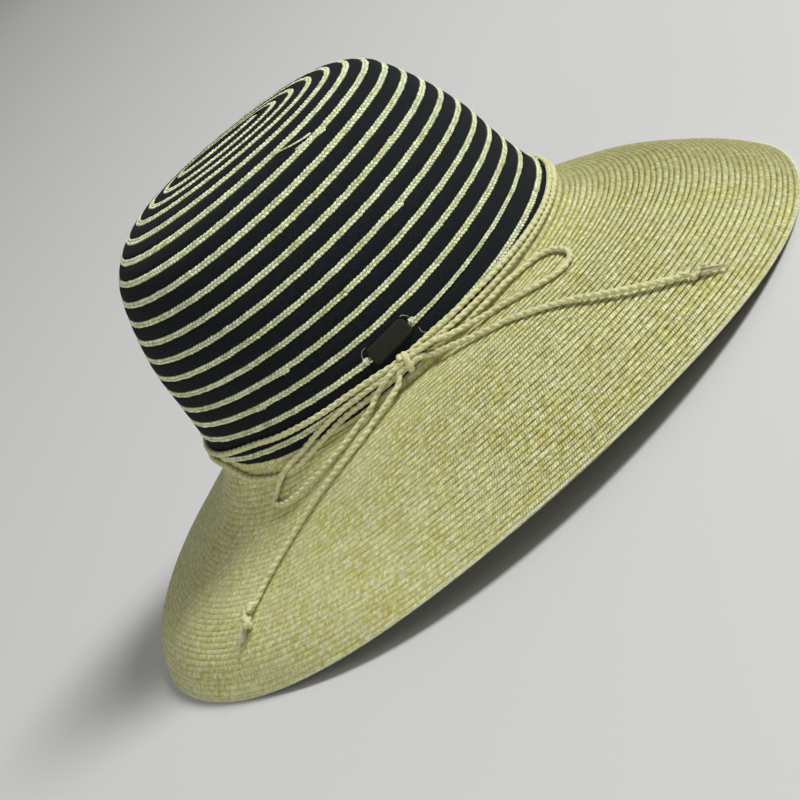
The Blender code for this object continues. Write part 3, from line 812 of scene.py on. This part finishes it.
def overhand_line():
    """The line of an overhand knot, along X, with its two ends straight."""
    t = np.linspace(-2.05, 2.05, 90)
    line = np.stack([(t ** 5 / 10 - t) * 1.4, (t ** 3 - 3 * t) * 0.66,
                     (t ** 4 - 4 * t ** 2) * 0.36], axis=-1)
    return (line + (0, 0, 0.6)) * KNOT_SIZE + (KNOT_REACH, 0, 0)


def fray_lines(tip):
    """Lines of loose fibres that fan out of the knot and reach to about the tip."""
    lines = []
    for _ in range(FRAY_COUNT):
        bend = fray_rng.normal(0, FRAY_SPREAD, 2)
        reach = tip * fray_rng.uniform(0.72, 1.0)
        t = np.linspace(0, 1, FRAY_STEPS)[:, None]
        curl = np.sin(t * fray_rng.uniform(2, 5)) * fray_rng.normal(0, FRAY_SPREAD / 4, 2)
        around = fray_rng.normal(0, FRAY_WIDTH, 2)
        side = around * (1 - 0.55 * t) + bend * t ** 1.4 + curl
        lines.append(np.hstack([FRAY_START + (reach - FRAY_START) * t, side]))
    return lines


def fibre(line, thickest):
    """A thin round fibre along a line, thinner towards its tip."""
    share = np.arange(len(line)) / (len(line) - 1)
    return tube(line, 5, lambda i, angle: (thickest * (1 - 0.6 * share[i]), angle),
                0.8 * np.arange(len(line)))


def joined(works):
    """One bmesh that holds several."""
    whole = bmesh.new()
    for work in works:
        mesh = new_mesh("part", work)
        whole.from_mesh(mesh)
        bpy.data.meshes.remove(mesh)
    return whole


for name, places, turn in (("left", LEFT_END_PLACES, 0.0),
                           ("right", RIGHT_END_PLACES, RIGHT_KNOT_TURN)):
    start, x, length = end_axes(places)
    z = unit(table_place(*places[0], END_KNOT_LIFT + MM) - start)
    y = unit(np.cross(z, x))
    z = np.cross(x, y)
    axes = np.stack([x, y * cos(turn) + z * sin(turn), z * cos(turn) - y * sin(turn)])
    knot = twisted_cord(start + even_points(overhand_line(), KNOT_STEP) @ axes, KNOT_STRAND,
                        KNOT_OFFSET, KNOT_TWIST_PITCH, KNOT_SIDES)
    brush = [fibre(start + line @ axes, FIBRE_RADIUS) for line in fray_lines(length)]
    add_piece(f"overhand_knot_{name}", knot, cream_cord, "cord", f"tail_knot_{name}")
    add_piece(f"frayed_tip_{name}", joined(brush), frayed_fibre, "cord")

# %% Count the cords that hang free: the bow's loops and tails
print("free cords:", len(loops) + len(tails))

# %% [markdown]
# ## The brim
# The brim is one plait, 2.6 mm wide, that is sewn row beside row. Each row is a low ridge
# with a thin groove on either side, darkened by painted shade. The ridges are in the mesh,
# because they show along the outline and catch the light, and the plait's single straws are
# bump.

# %% Where the brim's straw starts
# azimuth in degrees, millimetres down from the head band
STRAW_STARTS = np.array([
    (-200, -7.0), (-172, -8.5), (-165, -7.5), (-161, -5.5), (-156, -3.8), (-149, -2.8),
    (-142, -2.0), (-125, -1.8), (-115, -2.2), (-107, -3.0), (-98, -3.6), (-90, -4.4),
    (-82, -5.4), (-74, -6.4), (-60, -6.6), (-40, -7.0), (-20, -7.0), (60, -7.0), (160, -7.0),
])


def straw_start(azimuth):
    """How far down from the head band the brim's straw starts, in metres."""
    turned = (np.degrees(azimuth) + 200) % 360 - 200
    return np.interp(turned, *STRAW_STARTS.T) * MM


# %% The brim's rows
BRIM_ROWS = 40
CLIMBING_ROWS = 4
ROW_PITCH = BRIM_WIDTH / BRIM_ROWS
BRIM_STATIONS = 320
BRIM_THICKNESS = 0.0018
CLIMBING_LIFT = 0.00018
TUCKED_LIFT = -0.0005
BACK_FLATNESS = 0.55
ROW_WIDENING = 0.87
# share of a row's width, height over the solid's face in millimetres
ROW_SECTION = np.array([(0.0, -0.50), (0.14, -0.10), (0.36, 0.16), (0.64, 0.15), (0.86, -0.12)])
ROW_PARTS = len(ROW_SECTION)
TOP_RINGS = (CLIMBING_ROWS + BRIM_ROWS) * ROW_PARTS
UNDER_RINGS = BRIM_ROWS * 2
RINGS = TOP_RINGS + UNDER_RINGS
rng = np.random.default_rng(11)
UNEVEN = rng.normal(0, 0.00005, (RINGS + 1, BRIM_STATIONS))


def brim_section(ring):
    """Distance down and lift of each ring of the section: out on top, back underneath."""
    ring = ring % RINGS
    share, height = ROW_SECTION[ring % ROW_PARTS].T
    row = np.minimum(ring // ROW_PARTS, CLIMBING_ROWS + BRIM_ROWS) - CLIMBING_ROWS
    top_down = (row + np.where(ring < TOP_RINGS, share, 0)) * ROW_PITCH
    returned = np.clip(ring - TOP_RINGS, 0, UNDER_RINGS)
    under_down = BRIM_WIDTH - returned * ROW_PITCH / 2
    under_lift = -BRIM_THICKNESS + np.where(returned % 2 == 0, 0.25, -0.10) * MM
    on_top = ring <= TOP_RINGS
    return np.where(on_top, top_down, under_down), np.where(on_top, height * MM, under_lift)


def brim_ripple(azimuth, down):
    """Small waves of the sewn rows, in metres."""
    share = np.clip(down / BRIM_WIDTH, 0, 1)
    return share * (1 - share ** 4) * (0.00035 * np.sin(9 * azimuth + 5 * share)
                                       + 0.00025 * np.sin(17 * azimuth - 8 * share + 1.3))


def brim_bend(i, j):
    """Where a point of the flat sheet goes on the hat."""
    station = i % BRIM_STATIONS
    azimuth = 2 * pi * station / BRIM_STATIONS
    down, lift = brim_section(j)
    start = straw_start(azimuth)
    tucked = down <= start
    lift = np.where(j < TOP_RINGS, lift * (1 - BACK_FLATNESS * (1 - np.cos(azimuth)) / 2), lift)
    lift = np.where(down < 0, lift + CLIMBING_LIFT, lift + brim_ripple(azimuth, down))
    lift = lift + UNEVEN[j % RINGS, station]
    wander = (0.00018 * np.sin(5 * azimuth + down * 900)
              + 0.00012 * np.sin(13 * azimuth - down * 400))
    inside = np.clip(np.minimum(down, BRIM_WIDTH - down) / ROW_PITCH, 0, 1)
    return hat_place(azimuth, np.where(tucked, start, down + wander * inside),
                     np.where(tucked, TUCKED_LIFT, lift))


def brim_pattern(i, j):
    """Millimetres along the row, and the number of rows from the band."""
    down, _ = brim_section(np.minimum(j, RINGS - 1))
    azimuth = 2 * pi * i / BRIM_STATIONS
    row = np.floor(down / ROW_PITCH + 1e-6)
    radius = (BAND_LENGTH + BAND_WIDTH) / 4 + row * ROW_PITCH * ROW_WIDENING
    return radius * azimuth / MM, down / ROW_PITCH + CLIMBING_ROWS


add_piece("straw_brim", bent_sheet(BRIM_STATIONS, RINGS, brim_bend, brim_pattern), brim_straw,
          "brim_straw", "brim")

# %% [markdown]
# ## The crown
# Strips of black fabric, a little puffed, lie between the turns of the straw. The sheet
# for them is sheared so that its lines run along the spiral, and Solidify gives it a wall.
# The sewn turns aren't quite even: each one wanders by up to 2 mm from the spiral, and
# the last one sags beside the bow's left side.

# %% How the turns wander
# for each power of the arc: millimetres, and parts of the azimuth's cosine and sine,
# and of the doubled azimuth's
WANDER = np.array([
    (-0.18, -0.37, -0.08, -0.28, 1.15),
    (-0.12, -0.03, -0.17, -0.73, 0.84),
    (-0.31, 0.43, 0.31, -0.28, -1.75),
])
WANDER_MIDDLE = 0.090
WANDER_REACH = 0.060
WANDER_STARTS = (0.018, 0.034)
WANDER_ENDS = (0.146, 0.152)
SAG_TURNS = (16.27, 16.32, 16.37, 16.42, 16.46, 16.50)
SAG_DEPTHS = (0.0, 0.0011, 0.0021, 0.0019, 0.0012, 0.0008)


def sewn_arc(turn, azimuth):
    """How far down the crown the straw really is, `turn` turns after its start."""
    arc = straw_arc(turn, azimuth)
    share = (arc - WANDER_MIDDLE) / WANDER_REACH
    waves = [1, np.cos(azimuth), np.sin(azimuth), np.cos(2 * azimuth), np.sin(2 * azimuth)]
    off = sum(share ** power * sum(part * at for part, at in zip(parts, waves))
              for power, parts in enumerate(WANDER))
    eased = np.interp(arc, WANDER_STARTS + WANDER_ENDS, (0, 1, 1, 0))
    return arc + off * eased * MM + np.interp(turn, SAG_TURNS, SAG_DEPTHS, right=0)


# %% The black strips
STRIP_PARTS = 8
STRIP_TURNS = 18
CROWN_STATIONS = 240
STRIP_MM_ROUND = 520
STRIP_OVERLAP = 0.0006
STRIP_TUCKED_LIFT = TUCKED_LIFT - 0.0002
# the straw is drawn in between the strips, except where the cord lies over them
SUNK_ARCS = (0.140, 0.149)
SUNK_DEPTHS = (0.0008, 0.0)
CROWN_WALL = 0.0016


def sunk(arc):
    """How deep the straw is drawn in at that distance from the crown's tip."""
    return np.interp(arc, SUNK_ARCS, SUNK_DEPTHS)


def crown_bend(i, j):
    """Where a point of the flat sheet goes on the crown."""
    turn = j / STRIP_PARTS + i / CROWN_STATIONS - 0.5
    azimuth = -2 * pi * (i % CROWN_STATIONS) / CROWN_STATIONS
    arc = np.clip(sewn_arc(turn, azimuth), 0, CROWN_ARC)
    from_straw = np.abs(j % STRIP_PARTS / STRIP_PARTS - 0.5) * 2
    puff = -(sunk(arc) + 0.00015) * np.interp(from_straw, (0.25, 0.5, 0.75), (1.0, 0.12, 0.0))
    under_straw = arc > CROWN_ARC + straw_start(azimuth) + STRIP_OVERLAP
    return crown_place(azimuth, arc, np.where(under_straw, STRIP_TUCKED_LIFT, puff))


def crown_pattern(i, j):
    """Millimetres along the strip and across it."""
    turn = j / STRIP_PARTS + i / CROWN_STATIONS - 0.5
    return i / CROWN_STATIONS * STRIP_MM_ROUND, turn * STRAW_PITCH / MM


def add_wall(piece, thickness):
    """Give a piece that is only a surface a wall, to the inside."""
    wall = piece.modifiers.new("wall", "SOLIDIFY")
    wall.thickness = thickness
    wall.offset = -1


shell = bent_sheet(CROWN_STATIONS, STRIP_PARTS * STRIP_TURNS, crown_bend, crown_pattern)
add_wall(add_piece("black_strips", shell, black_fabric, "dark_strip", "crown"), CROWN_WALL)

# %% The straw plait between the strips
GRAIN_PITCH = 0.0019
GRAIN_HALF = (0.00125, 0.00074, 0.00042)
GRAIN_OFFSET = 0.00069
GRAIN_SLANT = radians(24)
GRAIN_LIFT = 0.00044
SWAY = 0.00008
# the straw gets narrower down the crown, and beside the tag the strip's edge hides a part
NARROW_TURNS = (6.0, 12.0, 15.04, 15.10, 15.23, 15.245)
NARROW_SHARES = (1.06, 0.92, 0.92, 0.66, 0.62, 0.92)


def straight_plait(count):
    """A straight length of plait, as one mesh: two rows of slanted grains, side by side."""
    work = bmesh.new()
    for row in (0, 1):
        side = 2 * row - 1
        turn = Matrix.Rotation(-GRAIN_SLANT * side, 4, "Z")
        place = Matrix.Translation(((0.25 + row / 2) * GRAIN_PITCH, GRAIN_OFFSET * side, 0))
        size = Matrix.Diagonal((*GRAIN_HALF, 1))
        bmesh.ops.create_uvsphere(work, u_segments=6, v_segments=4, radius=1,
                                  matrix=place @ turn @ size)
    pattern = new_object("plait", new_mesh("plait", work))
    repeat = pattern.modifiers.new("repeat", "ARRAY")
    repeat.count = count
    repeat.use_relative_offset = False
    repeat.use_constant_offset = True
    repeat.constant_offset_displace = (GRAIN_PITCH, 0, 0)
    ready = pattern.evaluated_get(bpy.context.evaluated_depsgraph_get())
    long_mesh = bpy.data.meshes.new_from_object(ready)
    bpy.data.objects.remove(pattern)
    return long_mesh


def bend_plait(count, place):
    """A straight plait whose points `place` puts on the hat."""
    mesh = straight_plait(count)
    points = read_points(mesh).astype(float)
    row = (points[:, 1] > 0).astype(int)
    middle = 0.25 + row / 2
    number = np.round(points[:, 0] / GRAIN_PITCH - middle)
    middle = (number + middle) * GRAIN_PITCH
    grain = (number * 2 + row).astype(int)
    corner = np.empty(len(mesh.loops), np.int32)
    mesh.loops.foreach_get("vertex_index", corner)
    pattern = np.stack([number + 0.5 + (points[:, 0] - middle) / GRAIN_PITCH * 0.6,
                        row + 0.5 + (np.abs(points[:, 1]) - GRAIN_OFFSET) / GRAIN_PITCH],
                       axis=-1)[corner]
    size = rng.uniform(0.92, 1.06, 2 * count + 2)[grain]
    shift = rng.normal(0, 0.00004, 2 * count + 2)[grain]
    points[:, 0] = middle + (points[:, 0] - middle) * size
    points[:, 1:] = points[:, 1:] * size[:, None] + shift[:, None]
    mesh.uv_layers.new(name="UVMap")
    work = reshaped(mesh, place(points), pattern)
    bmesh.ops.recalc_face_normals(work, faces=work.faces)
    return work


TURN_MARKS = np.linspace(0.05, STRAW_TURNS, 4000)
TURN_POINTS = crown_point(-2 * pi * TURN_MARKS, sewn_arc(TURN_MARKS, -2 * pi * TURN_MARKS))
TURN_LENGTHS = running_lengths(TURN_POINTS)
print(f"the straw on the crown is {TURN_LENGTHS[-1]:.2f} m long")


def grain_place(turn, azimuth, off, lift):
    """Points of grains on the crown, `off` down from the spiral."""
    arc = sewn_arc(turn, azimuth) + off
    return crown_place(azimuth, arc, GRAIN_LIFT - sunk(arc) + lift)


def plait_on_crown(start, scale):
    """Bend a straight plait onto the spiral, `start` metres along it."""
    def place(points):
        turn = np.interp(start + points[:, 0] * scale, TURN_LENGTHS, TURN_MARKS)
        azimuth = -2 * pi * turn
        sway = SWAY * np.sin(azimuth * 41 + 3 * np.sin(azimuth * 7 + turn))
        narrow = np.interp(turn, NARROW_TURNS, NARROW_SHARES)
        return grain_place(turn, azimuth, points[:, 1] * narrow + sway, points[:, 2])
    return place


HALF_WAY = np.interp(10.5, TURN_MARKS, TURN_LENGTHS)
for name, start, end in (("crown_plait_upper", 0.0, HALF_WAY),
                         ("crown_plait_lower", HALF_WAY, TURN_LENGTHS[-1])):
    count = round((end - start) / GRAIN_PITCH)
    work = bend_plait(count, plait_on_crown(start, (end - start) / (count * GRAIN_PITCH)))
    replaced = ("crown_straw_spiral",) if name.endswith("upper") else ()
    add_piece(name, work, crown_straw, "crown_straw", *replaced)

# %% Where the straw was joined
# start and end azimuth in degrees, row, millimetres off the row at the start and at the end
JOINS = [
    (-75.5, -63.6, 7, -1.3, 1.6),
    (-79.0, -68.0, 12, -0.2, 1.0),
    (-142.0, -135.0, 15, -0.2, 1.0),
    (-131.0, -121.5, 14, -0.2, 1.1),
    (-60.0, -52.0, 10, 0.2, -0.9),
]
JOIN_SCALE = 0.72
JOIN_LIFT = 0.00040


def join_bend(first, last, row, off_first, off_last, count):
    """Bend a short plait from one place beside a row to another."""
    def place(points):
        share = points[:, 0] / (count * GRAIN_PITCH)
        azimuth = np.radians(first + (last - first) * share)
        turn = row - 1 - azimuth / (2 * pi)
        off = (off_first + (off_last - off_first) * share) * MM
        over = JOIN_LIFT * np.sin(np.clip(share, 0, 1) * pi)
        return grain_place(turn, azimuth, off + points[:, 1] * JOIN_SCALE, over + points[:, 2])
    return place


joins = []
for first, last, row, off_first, off_last in JOINS:
    ends = [crown_point(radians(a), sewn_arc(row - 1 - a / 360, radians(a)))
            for a in (first, last)]
    count = round(np.linalg.norm(ends[1] - ends[0]) / GRAIN_PITCH)
    joins.append(bend_plait(count, join_bend(first, last, row, off_first, off_last, count)))
# loose ends of the straw: azimuth in degrees, millimetres from the tip and off the crown
THIN_ENDS = [
    [(-67.8, 57.6, 0.4), (-71.5, 56.7, 0.5), (-75.8, 54.9, 0.4), (-79.2, 53.1, 0.3),
     (-82.8, 51.6, 0.3)],
    [(-9.5, 148.0, 0.4), (-5.5, 148.8, 0.8), (-4.5, 151.0, 2.2), (-4.0, 153.2, 3.4)],
]
for end in THIN_ENDS:
    line = np.array([crown_place(radians(a), arc * MM, off * MM) for a, arc, off in end])
    joins.append(fibre(even_points(line, 0.0006), 0.00050))
add_piece("crown_straw_joins", joined(joins), crown_straw, "crown_straw")

# %% The flat straw under the grains, whose dark colour is painted shade
BACKING_STEPS = 2600
BACKING_SECTION = np.array([(-1.42, -0.2), (-1.25, 0.42), (1.25, 0.42), (1.42, -0.2)]) * MM


def backing_bend(i, j):
    """A thin strip that follows the spiral, closed all round."""
    turn = np.interp(i / BACKING_STEPS * TURN_LENGTHS[-1], TURN_LENGTHS, TURN_MARKS)
    azimuth = -2 * pi * turn
    across, lift = BACKING_SECTION[j % 4].T
    across = across * np.interp(turn, NARROW_TURNS, NARROW_SHARES)
    arc = sewn_arc(turn, azimuth)
    return crown_place(azimuth, arc + across, lift - sunk(arc))


def backing_pattern(i, j):
    """The number of the grain along the strip, which is a single row."""
    return i * TURN_LENGTHS[-1] / BACKING_STEPS / GRAIN_PITCH * 0.5 + 0.3, j * 0 + 5.5


add_piece("crown_straw_backing",
          bent_sheet(BACKING_STEPS, 4, backing_bend, backing_pattern, True),
          shaded_backing_straw, "crown_straw")

# %% [markdown]
# ## The rim
# The last row of straw is bound with a pale thread. It shows as a light line along the
# edge, with short dark marks where the stitches go in, so it is a chain of slanted grains.

# %% The bound rim
RIM_MARKS = np.linspace(0, 2 * pi, 2000)
RIM_LENGTHS = running_lengths(brim_point(RIM_MARKS, BRIM_WIDTH))
RIM_CLOSENESS = 0.62
RIM_COUNT = round(RIM_LENGTHS[-1] / (GRAIN_PITCH * RIM_CLOSENESS))
RIM_STRETCH = RIM_LENGTHS[-1] / (RIM_COUNT * GRAIN_PITCH)
RIM_SCALE = 0.40
RIM_INSET = 0.00035
RIM_LIFT = 0.00012


def rim_bend(points):
    """The chain of grains along the brim's outer edge."""
    turn = np.interp(points[:, 0] * RIM_STRETCH, RIM_LENGTHS, RIM_MARKS)
    down = BRIM_WIDTH - RIM_INSET + points[:, 1] * RIM_SCALE
    edge = np.maximum(down - BRIM_WIDTH, 0)
    lift = RIM_LIFT + points[:, 2] * 1.1 - edge * 1.2
    return brim_place(turn, np.minimum(down, BRIM_WIDTH), lift)


add_piece("bound_rim", bend_plait(RIM_COUNT, rim_bend), edge_straw, "brim_straw")

# %% [markdown]
# ## The tag
# A small plain piece of dark cloth is sewn over one row of the straw, above the bow. Its
# upper corners are cut off, and the straw is knotted at both of its ends.

# %% The tag's cloth
TAG_AZIMUTH = radians(-96.5)
TAG_DOWN = -0.0182
TAG_LENGTH = 0.0210
TAG_HEIGHT = 0.0080
TAG_THICKNESS = 0.0006
TAG_LIFT = STRAW_TOP + GAP
TAG_SLOPE = 0.085
TAG_EDGE_DROP = 0.00025
CUT_CORNER = 0.0016
TAG_PARTS = (36, 14)
TAG_SQUARE_MM = (0.58, 0.57)
beside = crown_point(TAG_AZIMUTH + PROBE, CROWN_ARC + TAG_DOWN)
TAG_TURN = PROBE / np.linalg.norm(beside - crown_point(TAG_AZIMUTH, CROWN_ARC + TAG_DOWN))


def tag_bend(i, j):
    """The tag's upper face on the crown."""
    along, up = i / TAG_PARTS[0], j / TAG_PARTS[1]
    x = (along - 0.5) * TAG_LENGTH
    cut = np.maximum(0, np.abs(x) - (TAG_LENGTH / 2 - CUT_CORNER)) * 1.1
    low, high = TAG_HEIGHT / 2 - cut * 0.35, -TAG_HEIGHT / 2 + cut
    edge = (np.minimum(1, 8 * np.minimum(up, 1 - up))
            * np.minimum(1, 20 * np.minimum(along, 1 - along)))
    arc = CROWN_ARC + TAG_DOWN + low - TAG_SLOPE * x + (high - low) * up
    return crown_place(TAG_AZIMUTH + x * TAG_TURN, arc,
                       TAG_LIFT + TAG_THICKNESS - TAG_EDGE_DROP * (1 - edge) ** 2)


def tag_pattern(i, j):
    """Millimetres along the tag and up it."""
    return i * TAG_SQUARE_MM[0], j * TAG_SQUARE_MM[1]


tag = add_piece("bare_tag", bent_sheet(*TAG_PARTS, tag_bend, tag_pattern), tag_cloth, "tag",
                "label_tag")
add_wall(tag, 2 * TAG_THICKNESS)

# %% The straw's knots and threads at the tag
# azimuth in degrees and millimetres down for each point of a thread, radius in millimetres
TAG_THREADS = [
    ([(-104.4, -18.8), (-103.9, -20.6), (-103.1, -21.9), (-101.8, -22.4)], 0.14),
    ([(-90.4, -22.9), (-89.8, -22.8), (-89.2, -21.7), (-88.8, -20.3)], 0.15),
    ([(-89.0, -14.6), (-89.3, -13.2), (-89.0, -11.8), (-88.2, -10.9), (-87.2, -11.3)], 0.10),
]
TAG_KNOTS = [(-103.9, -17.7), (-88.9, -18.6)]
THREAD_LIFT = TAG_LIFT + 0.0006
TAG_KNOT_LIFT = 0.0012
TAG_KNOT_COILS = 2.6
TAG_KNOT_SIZE = (0.0022, 0.0010, 0.0006)
TAG_KNOT_STRAND = 0.00055
threads, knots = [], []
for points, radius in TAG_THREADS:
    line = np.array([table_place(*point, THREAD_LIFT) for point in points])
    threads.append(fibre(even_points(line, 0.0004), radius * MM))
for place in TAG_KNOTS:
    here = table_place(*place, TAG_KNOT_LIFT)
    out = unit(table_place(*place, TAG_KNOT_LIFT + MM) - here)
    along = unit(np.cross((0, 0, 1), out))
    axes = np.stack([along, np.cross(out, along), out])
    coil = np.linspace(0, TAG_KNOT_COILS * 2 * pi, 60)
    line = np.stack([coil / coil[-1] - 0.5, np.sin(coil), np.cos(coil)], axis=-1)
    knots.append(fibre(here + line * TAG_KNOT_SIZE @ axes, TAG_KNOT_STRAND))
add_piece("tag_threads", joined(threads), cream_cord, "cord")
add_piece("tag_knots", joined(knots), edge_straw, "crown_straw")

# %% [markdown]
# ## Floor and light
# A plain pale floor and soft studio light: a key light from the upper right and the front,
# a low fill light from the near left, a weak one from the back, and a dim surround.

# %% Floor, lights and surround
LIT_PLACE = Vector((0, 0, 0.08))
floor_work = bmesh.new()
bmesh.ops.create_grid(floor_work, x_segments=1, y_segments=1, size=4)
floor = new_object("floor", new_mesh("floor", floor_work))
pale_floor, _, floor_looks = new_material("pale_floor", 0.9)
floor_looks["Base Color"].default_value = (0.62, 0.62, 0.61, 1)
floor.data.materials.append(pale_floor)
for name, place, size, power in (("key", (2.42, -0.74, 2.58), 1.0, 132),
                                 ("fill", (-2.4, -2.5, 0.30), 1.6, 48),
                                 ("back", (0.6, 3.2, 2.4), 2.4, 14)):
    lamp = new_object(name, bpy.data.lights.new(name, "AREA"))
    lamp.data.energy = power
    lamp.data.size = size
    lamp.location = place
    lamp.rotation_euler = (LIT_PLACE - lamp.location).to_track_quat("-Z", "Y").to_euler()
world = bpy.data.worlds.new("surround")
bpy.context.scene.world = world
world.use_nodes = True
surround = world.node_tree.nodes["Background"].inputs
surround["Color"].default_value = (1.0, 0.99, 0.97, 1)
surround["Strength"].default_value = 0.21
bpy.context.scene.view_settings.view_transform = "Standard"

# %% The last call
bpy.context.view_layer.update()
